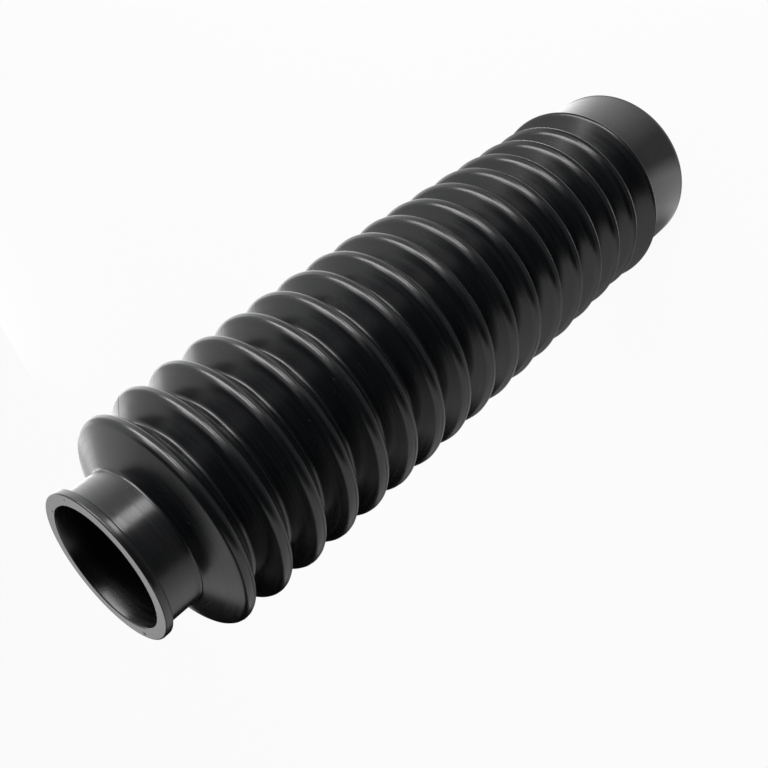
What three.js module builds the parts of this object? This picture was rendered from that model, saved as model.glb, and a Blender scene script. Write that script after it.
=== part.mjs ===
// Fork gaiter: a one-piece moulded rubber bellows that slides over a fork leg.
// It stands on the rim of its wide cuff, with its axis on Z and the small flanged collar on top.
// Everything is in millimetres.

import * as THREE from 'three';

// Skin and ends
const WALL = 2.0;
const CUFF_RADIUS = 31.1;
const CUFF_LENGTH = 24.5;
const COLLAR_BORE_RADIUS = 19.5;
const COLLAR_LENGTH = 13.5;
const FLANGE_OVERHANG = 1.85;
const FLANGE_THICKNESS = 2.4;

// Folds, numbered from the collar down to the cuff
const FOLD_COUNT = 17;
const FOLD_PITCH = 12.89;
const CREST_RADIUS = 35.3;
const FOLD_DEPTH = 6.9;
const WIDEST_FOLD = 7.2;
const CREST_FALL = 0.023;
const COLLAR_TO_CREST = 5.8;
const CUFF_TO_CREST = 2.0;

// Rounding of the rubber
const FIRST_CREST_ROUNDING = 2.2;
const LAST_CREST_ROUNDING = 3.0;
const VALLEY_ROUNDING = 0.9;
const ROOT_ROUNDING = 0.8;
const EDGE_ROUNDING = 0.4;
const LEAST_ROUNDING = 0.25;
const LARGEST_SHARE_OF_EDGE = 0.45;

// Fineness of the solid
const SEGMENTS = 32;
const CREST_STEPS = 2;

// Looks
const RUBBER_COLOUR = 0x17181a;
const RUBBER_ROUGHNESS = 0.42;

// Sizes that follow from the ones above
const COLLAR_RADIUS = COLLAR_BORE_RADIUS + WALL;
const FLANGE_RADIUS = COLLAR_RADIUS + FLANGE_OVERHANG;
const LAST_CREST_HEIGHT = CUFF_LENGTH + CUFF_TO_CREST;
const FIRST_CREST_HEIGHT = LAST_CREST_HEIGHT + (FOLD_COUNT - 1) * FOLD_PITCH;
const COLLAR_ROOT_HEIGHT = FIRST_CREST_HEIGHT + COLLAR_TO_CREST;
const FLANGE_FACE_HEIGHT = COLLAR_ROOT_HEIGHT + COLLAR_LENGTH;
const FLANGE_BACK_HEIGHT = FLANGE_FACE_HEIGHT - FLANGE_THICKNESS;

// A corner of an outline: radius from the axis, height, the rounding wanted and its steps.
function corner(radius, height, rounding, steps = 1) {
  return { point: new THREE.Vector2(radius, height), rounding, steps };
}

// Number 1 is the first crest below the collar, and 1.5 is the valley under it.
function foldHeight(number) {
  return FIRST_CREST_HEIGHT - (number - 1) * FOLD_PITCH;
}

// The crests are slightly barrelled: they grow to the widest fold, then taper to the cuff.
function crestRadius(number) {
  return CREST_RADIUS - CREST_FALL * (number - WIDEST_FOLD) ** 2;
}

// The folds near the collar have tighter crests than the ones near the cuff.
function crestRounding(number) {
  const wayDown = (number - 1) / (FOLD_COUNT - 1);
  return THREE.MathUtils.lerp(FIRST_CREST_ROUNDING, LAST_CREST_ROUNDING, wayDown);
}

// The flank is the straight line that touches both the crest's round and the valley's. Two flanks
// would meet in a sharp corner this share of the rounding beyond the rounded tip.
function overshoot(number) {
  const halfPitch = FOLD_PITCH / 2;
  const roundings = crestRounding(number) + VALLEY_ROUNDING;
  const straightDepth = FOLD_DEPTH - roundings;
  const centreSlope = Math.atan2(straightDepth, halfPitch);
  const flankAngle = Math.acos(roundings / Math.hypot(halfPitch, straightDepth)) - centreSlope;
  return 1 / Math.sin(flankAngle) - 1;
}

function crestCorner(number) {
  const rounding = crestRounding(number);
  const radius = crestRadius(number) + rounding * overshoot(number);
  return corner(radius, foldHeight(number), rounding, CREST_STEPS);
}

// The folds are equally deep, so the valleys are barrelled with the crests.
function valleyCorner(number) {
  const radius = crestRadius(number) - FOLD_DEPTH - VALLEY_ROUNDING * overshoot(number);
  return corner(radius, foldHeight(number), VALLEY_ROUNDING);
}

// The outside of the skin, from the cuff rim up to the collar mouth, without the flange.
function outsideOfSkin() {
  const corners = [
    corner(CUFF_RADIUS, 0, EDGE_ROUNDING),
    corner(CUFF_RADIUS, CUFF_LENGTH, ROOT_ROUNDING),
    crestCorner(FOLD_COUNT),
  ];
  for (let number = FOLD_COUNT - 1; number >= 1; number -= 1) {
    corners.push(valleyCorner(number + 0.5), crestCorner(number));
  }
  corners.push(corner(COLLAR_RADIUS, COLLAR_ROOT_HEIGHT, ROOT_ROUNDING));
  corners.push(corner(COLLAR_RADIUS, FLANGE_FACE_HEIGHT, EDGE_ROUNDING));
  return corners;
}

function directionFrom(start, end) {
  return end.point.clone().sub(start.point).normalize();
}

// The inside follows the outside one wall further in, so its crests are tighter and its valleys
// wider. Both ends of the skin are straight along the axis, and their faces stay level.
function insideOfSkin(outside) {
  const alongAxis = new THREE.Vector2(0, 1);
  const last = outside.length - 1;
  return outside.map((here, index) => {
    const isEnd = index === 0 || index === last;
    const arriving = isEnd ? alongAxis : directionFrom(outside[index - 1], here);
    const leaving = isEnd ? alongAxis : directionFrom(here, outside[index + 1]);
    const inward = new THREE.Vector2(-arriving.y - leaving.y, arriving.x + leaving.x);
    const point = here.point.clone().addScaledVector(inward, WALL / (1 + arriving.dot(leaving)));
    const turn = Math.sign(arriving.cross(leaving));
    return { point, rounding: Math.max(here.rounding - turn * WALL, 0), steps: 1 };
  });
}

// The lip round the collar mouth, from its back up to its outer edge.
function flangeCorners() {
  return [
    corner(COLLAR_RADIUS, FLANGE_BACK_HEIGHT, EDGE_ROUNDING),
    corner(FLANGE_RADIUS, FLANGE_BACK_HEIGHT, EDGE_ROUNDING),
    corner(FLANGE_RADIUS, FLANGE_FACE_HEIGHT, EDGE_ROUNDING),
  ];
}

// The rounding of one corner. One step is a flat that touches the round at its middle, and more
// steps are chords of it. The reach along each edge is limited by the shorter edge.
function roundedCorner(before, here, after) {
  const toBefore = before.point.clone().sub(here.point);
  const toAfter = after.point.clone().sub(here.point);
  const room = LARGEST_SHARE_OF_EDGE * Math.min(toBefore.length(), toAfter.length());
  const halfAngle = toBefore.angleTo(toAfter) / 2;
  const radius = Math.min(here.rounding, room * Math.tan(halfAngle));
  toBefore.normalize();
  toAfter.normalize();
  if (here.steps === 1) {
    const reach = (radius * (1 / Math.sin(halfAngle) - 1)) / Math.cos(halfAngle);
    return [toBefore, toAfter].map((way) => here.point.clone().addScaledVector(way, reach));
  }
  const start = here.point.clone().addScaledVector(toBefore, radius / Math.tan(halfAngle));
  const bisector = toBefore.clone().add(toAfter).normalize();
  const centre = here.point.clone().addScaledVector(bisector, radius / Math.sin(halfAngle));
  const sweep = (Math.PI - 2 * halfAngle) * Math.sign(toAfter.cross(toBefore));
  return Array.from({ length: here.steps + 1 }, (_, step) =>
    start.clone().rotateAround(centre, (sweep * step) / here.steps),
  );
}

// Rounds every corner of a closed outline. A rounding too small to matter leaves it sharp.
function roundedOutline(corners) {
  return corners.flatMap((here, index) => {
    const before = corners.at(index - 1);
    const after = corners[(index + 1) % corners.length];
    return here.rounding < LEAST_ROUNDING ? [here.point] : roundedCorner(before, here, after);
  });
}

// The closed outline of the wall: up the outside, round the flange and down the inside.
function wallOutline() {
  const outside = outsideOfSkin();
  const inside = insideOfSkin(outside);
  const mouthEdge = inside.at(-1);
  mouthEdge.rounding = EDGE_ROUNDING;
  inside[0].rounding = EDGE_ROUNDING;
  const corners = [...outside.slice(0, -1), ...flangeCorners(), ...inside.reverse()];
  const outline = roundedOutline(corners);
  return [...outline, outline[0].clone()];
}

// The lathe turns the outline round Y, so the mesh is tipped to bring that axis to Z.
function makeGaiter() {
  const geometry = new THREE.LatheGeometry(wallOutline(), SEGMENTS);
  const rubber = new THREE.MeshStandardMaterial({
    color: RUBBER_COLOUR,
    roughness: RUBBER_ROUGHNESS,
    metalness: 0,
  });
  const mesh = new THREE.Mesh(geometry, rubber);
  mesh.name = 'gaiter';
  mesh.rotation.x = Math.PI / 2;
  return mesh;
}

const forkGaiter = new THREE.Group();
forkGaiter.add(makeGaiter());

export default forkGaiter;
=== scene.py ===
# %% [markdown]
# # A rubber fork gaiter
# A gaiter is the rubber bellows that keeps dirt off the sliding tube of a fork. It is one moulded
# piece: a small collar with a lip at the top, seventeen folds, and a plain wide cuff below.
# This lesson turns its outline on an axis, gives the rubber its satin skin, and lights it so that
# black rubber reads as a shape. Sizes are in millimetres until the mesh is made in metres.

# %% Load the measured frame
import math

import bpy
import numpy as np
from mathutils import Matrix, Vector


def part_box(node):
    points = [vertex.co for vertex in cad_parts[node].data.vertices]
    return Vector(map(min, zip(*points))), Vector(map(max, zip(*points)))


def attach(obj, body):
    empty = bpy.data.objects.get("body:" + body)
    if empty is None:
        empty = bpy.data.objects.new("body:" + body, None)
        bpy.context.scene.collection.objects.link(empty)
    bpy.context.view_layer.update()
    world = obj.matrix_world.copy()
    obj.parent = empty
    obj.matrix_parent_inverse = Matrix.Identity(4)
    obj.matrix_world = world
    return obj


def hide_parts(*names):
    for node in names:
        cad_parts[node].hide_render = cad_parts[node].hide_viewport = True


MM = 0.001

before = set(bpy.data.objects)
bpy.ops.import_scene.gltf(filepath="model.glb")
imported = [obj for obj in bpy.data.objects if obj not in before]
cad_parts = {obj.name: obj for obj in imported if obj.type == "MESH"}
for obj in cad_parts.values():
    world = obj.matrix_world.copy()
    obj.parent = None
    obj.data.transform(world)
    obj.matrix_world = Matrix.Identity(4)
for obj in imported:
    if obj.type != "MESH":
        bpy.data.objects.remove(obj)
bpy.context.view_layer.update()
low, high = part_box("gaiter")
LENGTH = (high[2] - low[2]) / MM

# %% [markdown]
# ## The camera
# The photographer held the camera about a quarter of a metre away, looked down on the collar at
# 34 degrees, and let the picture lie on its side. A standing gaiter then runs from the lower left
# corner to the upper right one. A lens this close makes the near collar large and the cuff small,
# so the distance matters as much as the direction. We stand the camera level, tip it down, and
# roll it about its own line of sight.

# %% Camera
CAMERA_PLACE = Vector((-8.7, -257.9, 324.6)) * MM
LOOK_DOWN = math.radians(34.25)
CAMERA_ROLL = math.radians(-129.27)
LENS = 46.6
SENSOR = 36.0
NEAREST_SEEN = 10 * MM


def make_camera():
    data = bpy.data.cameras.new("camera")
    data.lens = LENS
    data.sensor_width = SENSOR
    data.clip_start = NEAREST_SEEN
    camera = bpy.data.objects.new("camera", data)
    bpy.context.scene.collection.objects.link(camera)
    tipped = Matrix.Rotation(math.pi / 2 - LOOK_DOWN, 4, "X")
    rolled = Matrix.Rotation(CAMERA_ROLL, 4, "Z")
    camera.matrix_world = Matrix.Translation(CAMERA_PLACE) @ tipped @ rolled
    bpy.context.scene.camera = camera
    return camera


camera = make_camera()
print("camera", [round(v, 3) for v in camera.location])

# %% [markdown]
# ## The sizes of the bellows
# A bellows is a zigzag with rounded tips. Four sizes settle it: the pitch from crest to crest, the
# radius at the crests, the depth of the folds, and how round each tip is. The crests swell a
# little near the collar and shrink towards the cuff, as the moulded part does, and they get rounder
# towards the cuff. The collar and the cuff are plain tubes on the same wall.

# %% Sizes of the bellows
WALL = 2.0
CUFF_RADIUS = 31.1
CUFF_LENGTH = 24.5
COLLAR_RADIUS = 21.5
COLLAR_LENGTH = 13.5
FLANGE_RADIUS = 23.35
FLANGE_THICKNESS = 2.4

FOLDS = 17
CREST_RADIUS = 35.3
FOLD_DEPTH = 6.9
WIDEST_FOLD = 7.2
CREST_FALL = 0.023
COLLAR_TO_CREST = 5.8
CUFF_TO_CREST = 2.0

FIRST_CREST_ROUNDING = 2.2
LAST_CREST_ROUNDING = 3.0
VALLEY_ROUNDING = 0.9
ROOT_ROUNDING = 0.8
EDGE_ROUNDING = 0.4

FIRST_CREST = LENGTH - COLLAR_LENGTH - COLLAR_TO_CREST
LAST_CREST = CUFF_LENGTH + CUFF_TO_CREST
PITCH = (FIRST_CREST - LAST_CREST) / (FOLDS - 1)
print("pitch", round(PITCH, 3), "mm")

# %% [markdown]
# ## One fold
# Folds are counted from the collar, and 1.5 is the valley under the first crest. The flank between
# a crest and a valley is the straight line that touches both rounds. Its slope follows from the
# pitch, the depth and the two roundings, so we work it out instead of guessing it.

# %% Shape of one fold


def fold_height(number):
    return FIRST_CREST - (number - 1) * PITCH


def crest_radius(number):
    return CREST_RADIUS - CREST_FALL * (number - WIDEST_FOLD) ** 2


def crest_rounding(number):
    way_down = (number - 1) / (FOLDS - 1)
    return FIRST_CREST_ROUNDING + (LAST_CREST_ROUNDING - FIRST_CREST_ROUNDING) * way_down


def flank_angle(number):
    roundings = crest_rounding(number) + VALLEY_ROUNDING
    straight_depth = FOLD_DEPTH - roundings
    reach = math.hypot(PITCH / 2, straight_depth)
    return math.acos(roundings / reach) - math.atan2(straight_depth, PITCH / 2)


def overshoot(number):
    """How far the sharp corner lies beyond the rounded tip, as a share of the rounding."""
    return 1 / math.sin(flank_angle(number)) - 1


for number in (1, 9, FOLDS):
    slope = math.degrees(flank_angle(number))
    print("fold", number, "radius", round(crest_radius(number), 2), "flank", round(slope, 1))

# %% [markdown]
# ## The outline, corner by corner
# Rubber has no sharp corners, but an outline is easiest to think of as sharp corners that are
# rounded afterwards. Each corner keeps its radius from the axis, its height, and the rounding it
# will get. We walk up the outside from the cuff, round the lip of the collar, and come back down
# the inside, one wall further in.

# %% Corners of the outline


def crest(number):
    rounding = crest_rounding(number)
    return (crest_radius(number) + rounding * overshoot(number), fold_height(number), rounding)


def valley(number):
    radius = crest_radius(number) - FOLD_DEPTH - VALLEY_ROUNDING * overshoot(number)
    return (radius, fold_height(number), VALLEY_ROUNDING)


def outside_corners():
    corners = [(CUFF_RADIUS, 0.0, EDGE_ROUNDING), (CUFF_RADIUS, CUFF_LENGTH, ROOT_ROUNDING)]
    corners.append(crest(FOLDS))
    for number in range(FOLDS - 1, 0, -1):
        corners += [valley(number + 0.5), crest(number)]
    corners.append((COLLAR_RADIUS, LENGTH - COLLAR_LENGTH, ROOT_ROUNDING))
    corners.append((COLLAR_RADIUS, LENGTH, EDGE_ROUNDING))
    return corners


def unit(vector):
    return vector / np.linalg.norm(vector)


def inside_corners(outside):
    """The same corners, moved in by the wall, square to the edges that meet in each."""
    points = [np.array(corner[:2]) for corner in outside]
    up = np.array([0.0, 1.0])
    inside = []
    for i, point in enumerate(points):
        at_end = i in (0, len(points) - 1)
        arriving = up if at_end else unit(point - points[i - 1])
        leaving = up if at_end else unit(points[i + 1] - point)
        inward = np.array([-arriving[1] - leaving[1], arriving[0] + leaving[0]])
        moved = point + inward * WALL / (1 + arriving @ leaving)
        turn = np.sign(arriving[0] * leaving[1] - arriving[1] * leaving[0])
        rounding = EDGE_ROUNDING if at_end else max(outside[i][2] - turn * WALL, 0.0)
        inside.append((moved[0], moved[1], rounding))
    return inside


def wall_corners():
    outside = outside_corners()
    flange_back = LENGTH - FLANGE_THICKNESS
    flange = [
        (COLLAR_RADIUS, flange_back, EDGE_ROUNDING),
        (FLANGE_RADIUS, flange_back, EDGE_ROUNDING),
        (FLANGE_RADIUS, LENGTH, EDGE_ROUNDING),
    ]
    return outside[:-1] + flange + inside_corners(outside)[::-1]


corners = wall_corners()
print("corners", len(corners))

# %% [markdown]
# ## Rounding the corners
# An arc that touches both edges replaces each corner. Long straight edges also get a point close
# to each arc. Without it, smooth shading would smear the bend of the arc over the whole flank, and
# every highlight on the folds would come out in the wrong place. The inside is too dark to need
# either, so it gets longer steps and no such points.

# %% Arc in place of a corner
ARC_STEP = math.radians(19)
INSIDE_ARC_STEP = math.radians(40)
MOST_OF_EDGE = 0.45
LEAST_ROUNDING = 0.2
SAMPLE_ROUNDING = 0.2


def arc(before, here, after, rounding, step):
    """Points on the arc that replaces a corner."""
    to_before, to_after = before - here, after - here
    room = MOST_OF_EDGE * min(np.linalg.norm(to_before), np.linalg.norm(to_after))
    to_before, to_after = unit(to_before), unit(to_after)
    half = math.acos(to_before @ to_after) / 2
    radius = min(rounding, room * math.tan(half))
    if radius < LEAST_ROUNDING:
        return [here]
    centre = here + unit(to_before + to_after) * radius / math.sin(half)
    start = here + to_before * radius / math.tan(half) - centre
    end = here + to_after * radius / math.tan(half) - centre
    sweep = math.pi - 2 * half
    shares = np.linspace(0, 1, max(2, round(sweep / step)) + 1)
    first = np.sin((1 - shares) * sweep) / math.sin(sweep)
    second = np.sin(shares * sweep) / math.sin(sweep)
    return [centre + f * start + g * end for f, g in zip(first, second)]


square = [np.array([0.0, 1.0]), np.array([0.0, 0.0]), np.array([1.0, 0.0])]
rounded = arc(*square, SAMPLE_ROUNDING, ARC_STEP)
print("a rounded square corner:", [np.round(point, 3).tolist() for point in rounded])

# %% [markdown]
# ### The whole outline
# Every corner gets its arc, and the arcs are joined up. The face of the lip is one straight edge
# across, and it gets extra rings, because the nick and the pin holes have to be pressed into it.

# %% Rounded outline
SUPPORT = 0.35
LONG_EDGE = 2.5
LIP_RINGS = 13


def along_edge(start, end, inside):
    """Points on a straight edge: rings over the lip's face, and a support near each long end."""
    length = np.linalg.norm(end - start)
    if length < LONG_EDGE:
        return []
    if min(start[1], end[1]) > LENGTH - SUPPORT:
        return list(np.linspace(start, end, LIP_RINGS)[1:-1])
    support = unit(end - start) * SUPPORT
    return [] if inside else [start + support, end - support]


def rounded_outline(corners):
    points = [np.array(corner[:2]) for corner in corners]
    count = len(corners)
    lip_edge = max(range(count), key=lambda i: (points[i][1], points[i][0]))
    steps = [INSIDE_ARC_STEP if i > lip_edge else ARC_STEP for i in range(count)]
    arcs = [
        arc(points[i - 1], points[i], points[(i + 1) % count], corners[i][2], steps[i])
        for i in range(count)
    ]
    outline = []
    for i, bend in enumerate(arcs):
        outline += bend + along_edge(bend[-1], arcs[(i + 1) % count][0], i > lip_edge)
    return np.array(outline)


outline = rounded_outline(corners)
print("outline points", len(outline), "widest", round(outline[:, 0].max(), 2), "mm")

# %% [markdown]
# ## Marks of making and handling
# Two halves of a mould meet in a line down each side of the gaiter. It is faint except on the
# second fold, where the halves were a little out of step. The face of the lip has a nick about a
# millimetre across and two smaller pin holes. They could be painted on, but real dents catch the
# light from every side, so we press them into the mesh. A coarse grid has no room for them, and
# that is why the slices stand closer together around each mark.

# %% Slices round the axis
SLICES = 144
PARTING_TURNS = (-6.0, 174.0)
LIP_MARKS = [
    {"turn": 155.0, "radius": 21.9, "size": 0.55, "depth": 0.32},
    {"turn": 10.0, "radius": 20.3, "size": 0.38, "depth": 0.2},
    {"turn": -29.0, "radius": 21.8, "size": 0.38, "depth": 0.2},
]
CLOSE_SLICES = np.linspace(-1.6, 1.6, 9)
ROOM_BESIDE = 0.3


def slice_turns():
    """Even slices in degrees, replaced by close ones around every mark."""
    even = np.arange(SLICES) * 360 / SLICES
    for middle in [*PARTING_TURNS, *(mark["turn"] for mark in LIP_MARKS)]:
        away = np.abs((even - middle + 180) % 360 - 180)
        kept = even[away > CLOSE_SLICES[-1] + ROOM_BESIDE]
        even = np.concatenate([kept, (middle + CLOSE_SLICES) % 360])
    return np.radians(np.sort(even))


turns = slice_turns()
print("slices", len(turns), "narrowest", round(math.degrees(np.diff(turns).min()), 2), "degrees")

# %% [markdown]
# ## Turning the outline into a skin
# The gaiter is round, so the outline is turned about the axis: a ring of points for each point of
# the outline, and a four-sided face between each two rings. Blender's Screw modifier could do the
# same, but our own loop leaves a plain grid of points that the marks can be pressed into.

# %% Turned grid


def turned_grid(outline, turns):
    """Rings of points: one row for each outline point, one column for each slice."""
    radius = outline[:, 0][:, None]
    x = radius * np.cos(turns)[None, :]
    y = radius * np.sin(turns)[None, :]
    z = np.repeat(outline[:, 1][:, None], len(turns), axis=1)
    return np.stack([x, y, z], axis=2)


def grid_faces(rows, columns):
    ring = np.arange(rows)[:, None]
    cut = np.arange(columns)[None, :]
    next_ring, next_cut = (ring + 1) % rows, (cut + 1) % columns
    corners = [ring * columns + cut, ring * columns + next_cut]
    corners += [next_ring * columns + next_cut, next_ring * columns + cut]
    return np.stack([np.broadcast_to(c, (rows, columns)) for c in corners], axis=2).reshape(-1, 4)


grid = turned_grid(outline, turns)
faces = grid_faces(len(outline), len(turns))
print("points", grid.shape[0] * grid.shape[1], "triangles", 2 * len(faces))

# %% [markdown]
# ### The mould line
# Where the two halves of the mould met, a fine line runs down the outside of the gaiter. Points
# near the line move a little towards the axis. The second fold gets a deeper step, which shows
# as a short dark cut at the upper left of its front flank.

# %% Mould line
PARTING_WIDTH = 0.3
PARTING_DEPTH = 0.05
STEP_DEPTH = 0.16
STEP_BELOW_CREST = 1.0


def press_parting_line(grid, turn):
    """A groove down the outside of the skin, deeper on the front flank of the second fold."""
    angle = math.radians(turn)
    sideways = grid[:, :, 1] * math.cos(angle) - grid[:, :, 0] * math.sin(angle)
    outwards = grid[:, :, 0] * math.cos(angle) + grid[:, :, 1] * math.sin(angle)
    groove = np.clip(1 - np.abs(sideways) / PARTING_WIDTH, 0, 1) * (outwards > 0)
    heights = outline[:, 1]
    on_step = (heights > fold_height(2) + STEP_BELOW_CREST) & (heights < fold_height(1.5))
    depth = np.where(on_step, STEP_DEPTH, PARTING_DEPTH)
    depth = np.where(np.arange(len(outline)) < heights.argmax(), depth, 0.0)
    radius = np.hypot(grid[:, :, 0], grid[:, :, 1])
    shrink = 1 - groove * depth[:, None] / radius
    grid[:, :, :2] *= shrink[:, :, None]
    return int((groove * depth[:, None] > 0).sum())


for turn in PARTING_TURNS:
    print("mould line at", turn, "degrees:", press_parting_line(grid, turn), "points pressed in")

# %% [markdown]
# ### Nick and pin holes
# Each mark is a shallow round dish in the face of the lip. A dish with a soft edge catches the
# light on one side only, as a real dent in rubber does.

# %% Nick and pin holes in the lip


def press_lip_mark(grid, mark):
    """A shallow round dent in the lip's face."""
    angle = math.radians(mark["turn"])
    middle = np.array([mark["radius"] * math.cos(angle), mark["radius"] * math.sin(angle)])
    away = np.linalg.norm(grid[:, :, :2] - middle, axis=2) / mark["size"]
    on_face = grid[:, :, 2] > LENGTH - EDGE_ROUNDING
    dent = np.clip(1 - away**2, 0, 1) * on_face
    grid[:, :, 2] -= mark["depth"] * dent
    return int((dent > 0).sum())


for mark in LIP_MARKS:
    print("lip mark at", mark["turn"], "degrees:", press_lip_mark(grid, mark), "points pressed in")

# %% [markdown]
# ### From points to a piece
# The grid becomes one closed mesh in metres. Smooth shading is right all over, because rubber
# has no hard edge and every corner already has its arc.

# %% The gaiter's mesh


def make_mesh(name, points, faces):
    mesh = bpy.data.meshes.new(name)
    mesh.from_pydata((points.reshape(-1, 3) * MM).tolist(), [], faces.tolist())
    mesh.validate()
    mesh.shade_smooth()
    piece = bpy.data.objects.new(name, mesh)
    bpy.context.scene.collection.objects.link(piece)
    return piece


gaiter = make_mesh("rubber_gaiter", grid, faces)
print("gaiter", [round(v / MM, 1) for v in gaiter.dimensions], "mm")

# %% [markdown]
# ## Black moulded rubber
# Moulded rubber is nearly black, and what we see of it is mostly its satin gloss. The mould was
# turned on a lathe, so fine rings run round every fold. A noise that changes slowly round the axis
# and quickly along it draws those rings. It takes the direction from the axis as its place, and the
# height and the radius separately, so the rings follow a sloping flank as well as an upright cuff.
# The rings move the gloss and a very shallow bump, and a second noise adds the dull patches and
# pale specks of dust that handled rubber has.

# %% Helpers for materials
SHARE = (0.0, 1.0)


def new_material(name):
    material = bpy.data.materials.new(name)
    material.use_nodes = True
    material.node_tree.nodes.clear()
    return material, material.node_tree.nodes, material.node_tree.links


def calculate(nodes, links, operation, first, second):
    """One sum on two inputs, each of which is a number or another node's output."""
    node = nodes.new("ShaderNodeMath")
    node.operation = operation
    for socket, value in zip(node.inputs, (first, second)):
        if isinstance(value, (int, float)):
            socket.default_value = value
        else:
            links.new(value, socket)
    return node.outputs[0]


def rescale(nodes, links, value, old_range, new_range):
    """Stretches one range of values over another, and holds them at its ends."""
    node = nodes.new("ShaderNodeMapRange")
    links.new(value, node.inputs["Value"])
    node.inputs["From Min"].default_value, node.inputs["From Max"].default_value = old_range
    node.inputs["To Min"].default_value, node.inputs["To Max"].default_value = new_range
    return node.outputs[0]


print("helpers for materials are ready")

# %% [markdown]
# ### Rings and patches
# One noise is drawn out round the axis into rings, and a plain one, the same in every direction,
# serves for the patches and the specks. The sizes are counts per metre, so they can be checked
# against the real thing: there is a ring about every three quarters of a millimetre.

# %% Rings round the axis
RINGS_PER_METRE = 1300.0
RING_BREAKS = 1.3
RING_DETAIL = 2.0
PATCHES_PER_METRE = 45.0
SPECKS_PER_METRE = 750.0


def axis_place(nodes, links):
    """Where a point is: direction from the axis, height, and radius."""
    place = nodes.new("ShaderNodeTexCoord").outputs["Object"]
    parts = nodes.new("ShaderNodeSeparateXYZ")
    links.new(place, parts.inputs[0])
    x, y, z = parts.outputs
    squares = [calculate(nodes, links, "POWER", part, 2.0) for part in (x, y)]
    radius = calculate(nodes, links, "SQRT", calculate(nodes, links, "ADD", *squares), 0.0)
    return place, [calculate(nodes, links, "DIVIDE", part, radius) for part in (x, y)], z, radius


def ring_noise(nodes, links):
    """A noise drawn out into fine rings that break off after part of a turn."""
    place, direction, height, radius = axis_place(nodes, links)
    stretched = nodes.new("ShaderNodeCombineXYZ")
    for part, socket in zip(direction, stretched.inputs):
        links.new(calculate(nodes, links, "MULTIPLY", part, RING_BREAKS), socket)
    links.new(calculate(nodes, links, "MULTIPLY", height, RINGS_PER_METRE), stretched.inputs[2])
    noise = nodes.new("ShaderNodeTexNoise")
    noise.noise_dimensions = "4D"
    noise.inputs["Scale"].default_value = 1.0
    noise.inputs["Detail"].default_value = RING_DETAIL
    links.new(stretched.outputs[0], noise.inputs["Vector"])
    links.new(calculate(nodes, links, "MULTIPLY", radius, RINGS_PER_METRE), noise.inputs["W"])
    return place, noise.outputs[0]


def even_noise(nodes, links, place, scale):
    noise = nodes.new("ShaderNodeTexNoise")
    noise.inputs["Scale"].default_value = scale
    links.new(place, noise.inputs["Vector"])
    return noise.outputs[0]


print("a ring is about", round(1 / (RINGS_PER_METRE * MM), 2), "mm wide")

# %% [markdown]
# ### The rubber itself
# The colour is almost black, a little paler along the rings and pale grey in the rare specks of
# dust. The gloss is satin: smooth enough for a streak, and rough enough to soften its edges.

# %% Rubber
RUBBER_BLACK = (0.0032, 0.0036, 0.0044, 1.0)
RUBBER_WORN = (0.0060, 0.0064, 0.0072, 1.0)
DUST = (0.045, 0.045, 0.045, 1.0)
GLOSS = 0.25
RING_GLOSS = 0.03
PATCH_GLOSS = 0.03
RING_HEIGHT = 0.001 * MM
NOISE_RANGE = (0.3, 0.7)
WORN_RANGE = (0.35, 0.7)
SPECK_RANGE = (0.76, 0.8)


def mix_colours(nodes, links, share, first, second):
    mix = nodes.new("ShaderNodeMix")
    mix.data_type = "RGBA"
    links.new(share, mix.inputs["Factor"])
    for name, colour in (("A", first), ("B", second)):
        socket = next(i for i in mix.inputs if i.name == name and i.type == "RGBA")
        if isinstance(colour, tuple):
            socket.default_value = colour
        else:
            links.new(colour, socket)
    return next(o for o in mix.outputs if o.type == "RGBA")


def make_rubber():
    material, nodes, links = new_material("black_rubber")
    output = nodes.new("ShaderNodeOutputMaterial")
    skin = nodes.new("ShaderNodeBsdfPrincipled")
    links.new(skin.outputs["BSDF"], output.inputs["Surface"])
    place, rings = ring_noise(nodes, links)
    patches = even_noise(nodes, links, place, PATCHES_PER_METRE)
    specks = even_noise(nodes, links, place, SPECKS_PER_METRE)

    worn = rescale(nodes, links, rings, WORN_RANGE, SHARE)
    dusty = rescale(nodes, links, specks, SPECK_RANGE, SHARE)
    black = mix_colours(nodes, links, worn, RUBBER_BLACK, RUBBER_WORN)
    links.new(mix_colours(nodes, links, dusty, black, DUST), skin.inputs["Base Color"])

    ring_gloss = rescale(nodes, links, rings, NOISE_RANGE, (-RING_GLOSS, RING_GLOSS))
    patch_range = (GLOSS - PATCH_GLOSS, GLOSS + PATCH_GLOSS)
    patch_gloss = rescale(nodes, links, patches, NOISE_RANGE, patch_range)
    links.new(calculate(nodes, links, "ADD", ring_gloss, patch_gloss), skin.inputs["Roughness"])

    bump = nodes.new("ShaderNodeBump")
    bump.inputs["Strength"].default_value = 1.0
    bump.inputs["Distance"].default_value = RING_HEIGHT
    links.new(rings, bump.inputs["Height"])
    links.new(bump.outputs["Normal"], skin.inputs["Normal"])
    return material


gaiter.data.materials.append(make_rubber())
print("material", gaiter.data.materials[0].name)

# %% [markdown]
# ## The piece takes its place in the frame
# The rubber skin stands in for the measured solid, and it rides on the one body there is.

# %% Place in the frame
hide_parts("gaiter")
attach(gaiter, "root")
print("gaiter takes the place of the measured solid")

# %% [markdown]
# ## White paper
# In the photograph the gaiter lies on white paper without an edge. Here it stands on a wide floor
# of such paper. Lighting the paper to white would also flood the rubber, so it glows only for what
# looks at it: the camera, and the gloss that mirrors it. For plain light it is ordinary pale paper,
# which keeps the gaiter's shadow.

# %% Paper
FLOOR_RADIUS = 6.0
FLOOR_SIDES = 64
PAPER = (0.9, 0.9, 0.9, 1.0)
PAPER_GLOW = 0.94


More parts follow.
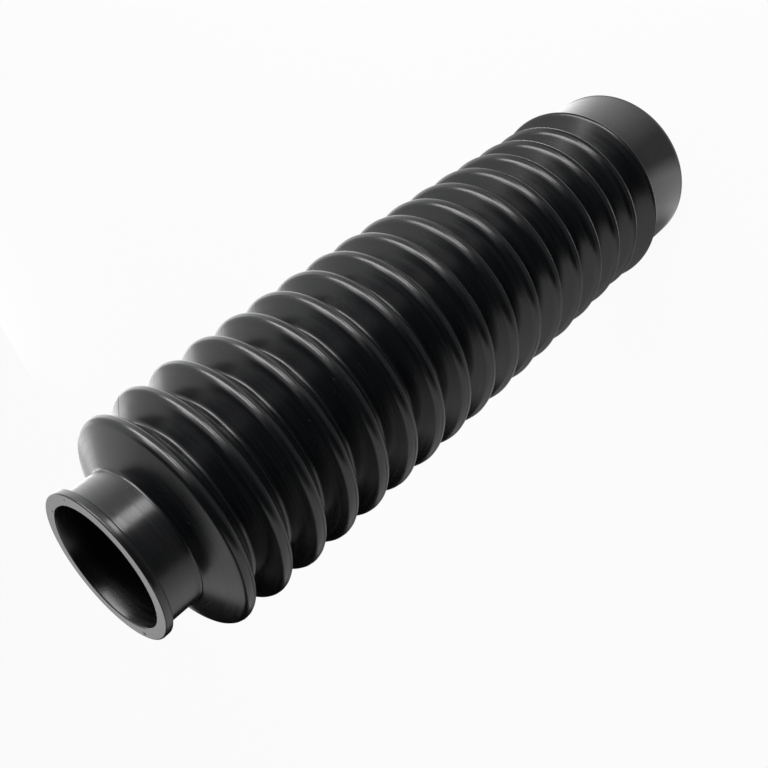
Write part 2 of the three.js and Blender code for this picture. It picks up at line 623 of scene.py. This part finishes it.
def seen_directly(nodes, links):
    """1 for what the camera sees and what shows in gloss or glass, and 0 for plain light."""
    path = nodes.new("ShaderNodeLightPath").outputs
    seen = calculate(nodes, links, "MAXIMUM", path["Is Camera Ray"], path["Is Glossy Ray"])
    return calculate(nodes, links, "MAXIMUM", seen, path["Is Transmission Ray"])


def make_paper():
    material, nodes, links = new_material("white_paper")
    output = nodes.new("ShaderNodeOutputMaterial")
    mix = nodes.new("ShaderNodeMixShader")
    paper = nodes.new("ShaderNodeBsdfDiffuse")
    paper.inputs["Color"].default_value = PAPER
    glow = nodes.new("ShaderNodeEmission")
    share = calculate(nodes, links, "MULTIPLY", seen_directly(nodes, links), PAPER_GLOW)
    links.new(share, mix.inputs["Fac"])
    links.new(paper.outputs["BSDF"], mix.inputs[1])
    links.new(glow.outputs["Emission"], mix.inputs[2])
    links.new(mix.outputs["Shader"], output.inputs["Surface"])
    return material


def make_floor():
    mesh = bpy.data.meshes.new("floor")
    angles = np.arange(FLOOR_SIDES) * 2 * math.pi / FLOOR_SIDES
    rim = [(FLOOR_RADIUS * math.cos(a), FLOOR_RADIUS * math.sin(a), 0.0) for a in angles]
    mesh.from_pydata(rim, [], [list(range(FLOOR_SIDES))])
    mesh.materials.append(make_paper())
    floor = bpy.data.objects.new("floor", mesh)
    floor.location.z = float(low[2])
    bpy.context.scene.collection.objects.link(floor)
    return floor


print("floor height", round(make_floor().location.z, 4), "m")

# %% [markdown]
# ## The room
# The world does the same as the paper. It looks white, and it gives the rubber only a weak, even
# light, so that the black stays black.

# %% World
PLAIN_LIGHT = 0.25
LOOKS_WHITE = 1.0
WHITE = (1.0, 1.0, 1.0, 1.0)


def make_world():
    world = bpy.data.worlds.new("studio")
    world.use_nodes = True
    nodes, links = world.node_tree.nodes, world.node_tree.links
    nodes.clear()
    output = nodes.new("ShaderNodeOutputWorld")
    mix = nodes.new("ShaderNodeMixShader")
    links.new(seen_directly(nodes, links), mix.inputs["Fac"])
    for number, strength in ((1, PLAIN_LIGHT), (2, LOOKS_WHITE)):
        light = nodes.new("ShaderNodeBackground")
        light.inputs["Color"].default_value = WHITE
        light.inputs["Strength"].default_value = strength
        links.new(light.outputs["Background"], mix.inputs[number])
    links.new(mix.outputs["Shader"], output.inputs["Surface"])
    bpy.context.scene.world = world
    return world


print("world", make_world().name)

# %% [markdown]
# ## Soft boxes
# Black rubber shows nothing but its surroundings, so the lamps are placed by what each should draw
# on the folds. A low wide strip draws the thin streak on every front shoulder, and a lower one the
# band down the collar. A high narrow box puts the soft patch on the flanks, and an edge box pales
# the outer rims at the upper left. A high box behind greys the lip's face. Directions are degrees
# from +X, seen from above, the camera stands at -90, and lengths are millimetres.

# %% Soft boxes
SOFT_BOXES = {
    "strip_box": dict(turn=-34, distance=480, width=540, bottom=200, top=350, brightness=9.5),
    "collar_box": dict(turn=-58, distance=480, width=165, bottom=30, top=115, brightness=11.0),
    "patch_box": dict(turn=-26, distance=480, width=120, bottom=340, top=560, brightness=6.0, lean=-14),
    "edge_box": dict(turn=62, distance=700, width=250, bottom=0, top=420, brightness=1.5),
    "back_box": dict(turn=85, distance=700, width=420, bottom=500, top=880, brightness=1.2),
}


def around(turn, distance, height):
    """A place round the gaiter: degrees from +X, millimetres out and up."""
    angle = math.radians(turn)
    return Vector((distance * math.cos(angle), distance * math.sin(angle), height)) * MM


def soft_box(name, turn, distance, width, bottom, top, brightness, lean=0):
    """An upright soft box that faces the axis. Brightness 1 looks as bright as white paper."""
    data = bpy.data.lights.new(name, "AREA")
    data.shape = "RECTANGLE"
    data.size = width * MM
    data.size_y = (top - bottom) * MM
    data.energy = brightness * math.pi * data.size * data.size_y
    lamp = bpy.data.objects.new(name, data)
    facing = around(turn, distance, 0.0).to_track_quat("Z", "Y").to_matrix().to_4x4()
    leaning = Matrix.Rotation(math.radians(lean), 4, "Z")
    middle = Matrix.Translation(around(turn, distance, (bottom + top) / 2))
    lamp.matrix_world = middle @ facing @ leaning
    lamp.visible_camera = False
    bpy.context.scene.collection.objects.link(lamp)
    print(name, round(data.energy, 2), "W")


for name, box in SOFT_BOXES.items():
    soft_box(name, **box)

# %% [markdown]
# ## Cards and shaded ground
# In an all white room black rubber turns grey. Dark cards take the white away where the photograph
# is dark: behind the camera, overhead and beyond the gaiter. The ground needs more than one card,
# because the rubber mirrors it all the way round, from dark in front to burnt white at the side.
# Five flat rings lie on it, and their glow changes with the turn. The nearest shows in the cuff,
# the next three in the rims of the folds, and the last in the collar. The camera sees neither cards
# nor rings, and they cast no shadow. Only the gloss of the rubber mirrors them.

# %% Glow of the cards
MOST_GLOW = 8.0


def plain_glow(name, glow):
    material, nodes, links = new_material(name)
    output = nodes.new("ShaderNodeOutputMaterial")
    shade = nodes.new("ShaderNodeEmission")
    shade.inputs["Strength"].default_value = glow
    links.new(shade.outputs["Emission"], output.inputs["Surface"])
    return material


def turning_glow(name, shades):
    """A glow for every turn round the axis. Shades are pairs of degrees and glow, in order."""
    material, nodes, links = new_material(name)
    output = nodes.new("ShaderNodeOutputMaterial")
    shade = nodes.new("ShaderNodeEmission")
    parts = nodes.new("ShaderNodeSeparateXYZ")
    links.new(nodes.new("ShaderNodeTexCoord").outputs["Object"], parts.inputs[0])
    turn = calculate(nodes, links, "ARCTAN2", parts.outputs[1], parts.outputs[0])
    ramp = nodes.new("ShaderNodeValToRGB")
    links.new(rescale(nodes, links, turn, (-math.pi, math.pi), SHARE), ramp.inputs[0])
    stops = ramp.color_ramp.elements
    for stop, (degrees, _) in zip(list(stops), (shades[0], shades[-1])):
        stop.position = (degrees + 180) / 360
    for degrees, _ in shades[1:-1]:
        stops.new((degrees + 180) / 360)
    for stop, (_, glow) in zip(stops, shades):
        stop.color = (glow / MOST_GLOW, glow / MOST_GLOW, glow / MOST_GLOW, 1.0)
    strength = calculate(nodes, links, "MULTIPLY", ramp.outputs[0], MOST_GLOW)
    links.new(strength, shade.inputs["Strength"])
    links.new(shade.outputs["Emission"], output.inputs["Surface"])
    return material


print("a ramp can hold a glow of up to", MOST_GLOW, "times white")

# %% [markdown]
# ### Shapes of the cards
# Three shapes do all the work: an upright card bent round the gaiter, a level card that hangs
# overhead, and a flat ring on the ground. Each is a few points placed by turn and distance.

# %% Shapes of the cards
CARD_HEIGHT = 0.5
RING_SIDES = 72


def card(name, points, faces, material):
    mesh = bpy.data.meshes.new(name)
    mesh.from_pydata([tuple(point) for point in points], [], faces)
    mesh.materials.append(material)
    piece = bpy.data.objects.new(name, mesh)
    bpy.context.scene.collection.objects.link(piece)
    piece.visible_camera = False
    piece.visible_diffuse = False
    piece.visible_shadow = False
    print(name, "with", len(faces), "faces")


def upright_card(name, distance, glow, edges):
    """Edges are (turn, bottom, top) from one side of the card to the other."""
    points = [around(turn, distance, bottom) for turn, bottom, _ in edges]
    points += [around(turn, distance, top) for turn, _, top in edges]
    count = len(edges)
    faces = [(i, i + 1, i + 1 + count, i + count) for i in range(count - 1)]
    card(name, points, faces, plain_glow(name, glow))


def hanging_card(name, height, glow, edge):
    """The edge is pairs of turn and distance, in order round the card."""
    points = [around(turn, distance, height) for turn, distance in edge]
    card(name, points, [tuple(range(len(points)))], plain_glow(name, glow))


def ground_ring(name, near, far, shades):
    turns = np.arange(RING_SIDES) * 360 / RING_SIDES
    points = [around(turn, distance, CARD_HEIGHT) for distance in (near, far) for turn in turns]
    faces = []
    for i in range(RING_SIDES):
        j = (i + 1) % RING_SIDES
        faces.append((i, j, j + RING_SIDES, i + RING_SIDES))
    card(name, points, faces, turning_glow(name, shades))


print("the ground rings will lie", CARD_HEIGHT, "mm above the paper")

# %% [markdown]
# ### Cards that stand
# The card behind the camera keeps the front of the gaiter black. The card beyond the gaiter has a
# slanting foot. The white room under the foot draws the grey band on the flanks, which every fold
# has but the nearest ones. A low card under the strip box takes away the white gap there.

# %% Standing cards
BLACK = 0.0
NEARLY_BLACK = 0.12
BEHIND_CAMERA_DISTANCE = 800
BEHIND_CAMERA = [(-150, CARD_HEIGHT, 1500), (-112, CARD_HEIGHT, 1500), (-73, CARD_HEIGHT, 1500)]
BEYOND_DISTANCE = 600
BEYOND = [(98, CARD_HEIGHT, 520), (130, CARD_HEIGHT, 520), (145, 415, 900), (151, 560, 1500)]
BEYOND += [(163, 710, 1500), (171, 820, 1500), (180, 945, 1500), (193, 1080, 1500)]
BEYOND += [(208, 1200, 1500)]
UNDER_STRIP_DISTANCE = 640
UNDER_STRIP = [(-72, 95, 195), (-42, 95, 195), (-12, 95, 195)]

upright_card("card_behind_camera", BEHIND_CAMERA_DISTANCE, BLACK, BEHIND_CAMERA)
upright_card("card_beyond", BEYOND_DISTANCE, BLACK, BEYOND)
upright_card("card_under_strip", UNDER_STRIP_DISTANCE, NEARLY_BLACK, UNDER_STRIP)

# %% [markdown]
# ### Cards that hang
# A wide dark card overhead blackens the flanks that face up. It reaches less far beyond the gaiter
# and towards -X, where the photograph's flanks turn grey. Two lighter patches hang just under it on
# the far side. Only the broad flank of the first fold mirrors them, the palest in the photograph.

# %% Hanging cards
OVERHEAD_HEIGHT = 1500
OVERHEAD_REACH = 1080
NARROW_REACH = 650
NARROW_TURNS = range(91, 210)
OVERHEAD_STEP = 15
PATCH_HEIGHT = 1490
GREY_PATCH_GLOW = 0.75
GREY_PATCH = [(30, 200), (40, 900), (60, 1080), (92, 1080), (92, 200)]
PALE_PATCH_GLOW = 1.3
PALE_PATCH = [(92, 350), (92, 1000), (112, 1000), (140, 1000), (140, 350)]


def overhead_edge():
    turns = range(0, 360, OVERHEAD_STEP)
    return [(turn, NARROW_REACH if turn in NARROW_TURNS else OVERHEAD_REACH) for turn in turns]


hanging_card("card_overhead", OVERHEAD_HEIGHT, BLACK, overhead_edge())
hanging_card("grey_patch", PATCH_HEIGHT, GREY_PATCH_GLOW, GREY_PATCH)
hanging_card("pale_patch", PATCH_HEIGHT, PALE_PATCH_GLOW, PALE_PATCH)

# %% [markdown]
# ### Shaded ground
# Each list goes once round the gaiter in pairs of degrees and glow, where 1 is white paper. The
# dark stretches lie in front, where the camera stands, and beyond on the -X side. The brightest lie
# towards +X, where the photograph's rims burn out to white.

# %% Shaded ground
CUFF_GROUND = [(-180, 0.2), (-168, 0.3), (-152, 1.1), (-124, 1.3), (-111, 0.35), (-92, 0.35)]
CUFF_GROUND += [(-60, 1.2), (-36, 1.6), (-12, 2.8), (30, 2.2), (90, 1.2), (120, 0.3), (180, 0.2)]
MIDDLE_GROUND = [(-180, 0.5), (-150, 0.3), (-140, 0.1), (-30, 0.2), (0, 0.8), (90, 1.2), (120, 0.3)]
FAR_RIBS_GROUND = [(-180, 0.8), (-150, 0.6), (-140, 0.2), (-85, 0.2), (-60, 1.0), (-40, 1.3)]
FAR_RIBS_GROUND += [(-25, 0.9), (-8, 1.0), (40, 1.7), (90, 1.4), (110, 0.3), (150, 0.6)]
NEAR_RIBS_GROUND = [(-180, 0.8), (-150, 0.6), (-140, 0.2), (-85, 0.2), (-70, 0.4), (-25, 0.5)]
NEAR_RIBS_GROUND += [(0, 1.1), (50, 1.8), (90, 1.4), (104, 0.1), (150, 0.4)]
COLLAR_GROUND = [(-180, 1.1), (-160, 0.85), (-142, 0.2), (-62, 0.25), (-50, 1.1), (-20, 1.1)]
COLLAR_GROUND += [(0, 1.7), (35, 2.6), (55, 1.7), (88, 1.4), (104, 0.1), (125, 0.25), (165, 1.1)]

GROUND_RINGS = {
    "cuff_ground": dict(near=31.6, far=50, shades=CUFF_GROUND),
    "middle_ground": dict(near=50, far=125, shades=MIDDLE_GROUND),
    "far_ribs_ground": dict(near=125, far=300, shades=FAR_RIBS_GROUND),
    "near_ribs_ground": dict(near=300, far=560, shades=NEAR_RIBS_GROUND),
    "collar_ground": dict(near=560, far=2000, shades=COLLAR_GROUND),
}

for name, ring in GROUND_RINGS.items():
    ground_ring(name, **ring)

# %% [markdown]
# ## Closing
# The picture keeps the plain view, so a colour comes out as it was mixed.

# %% Picture settings
bpy.context.scene.view_settings.view_transform = "Standard"
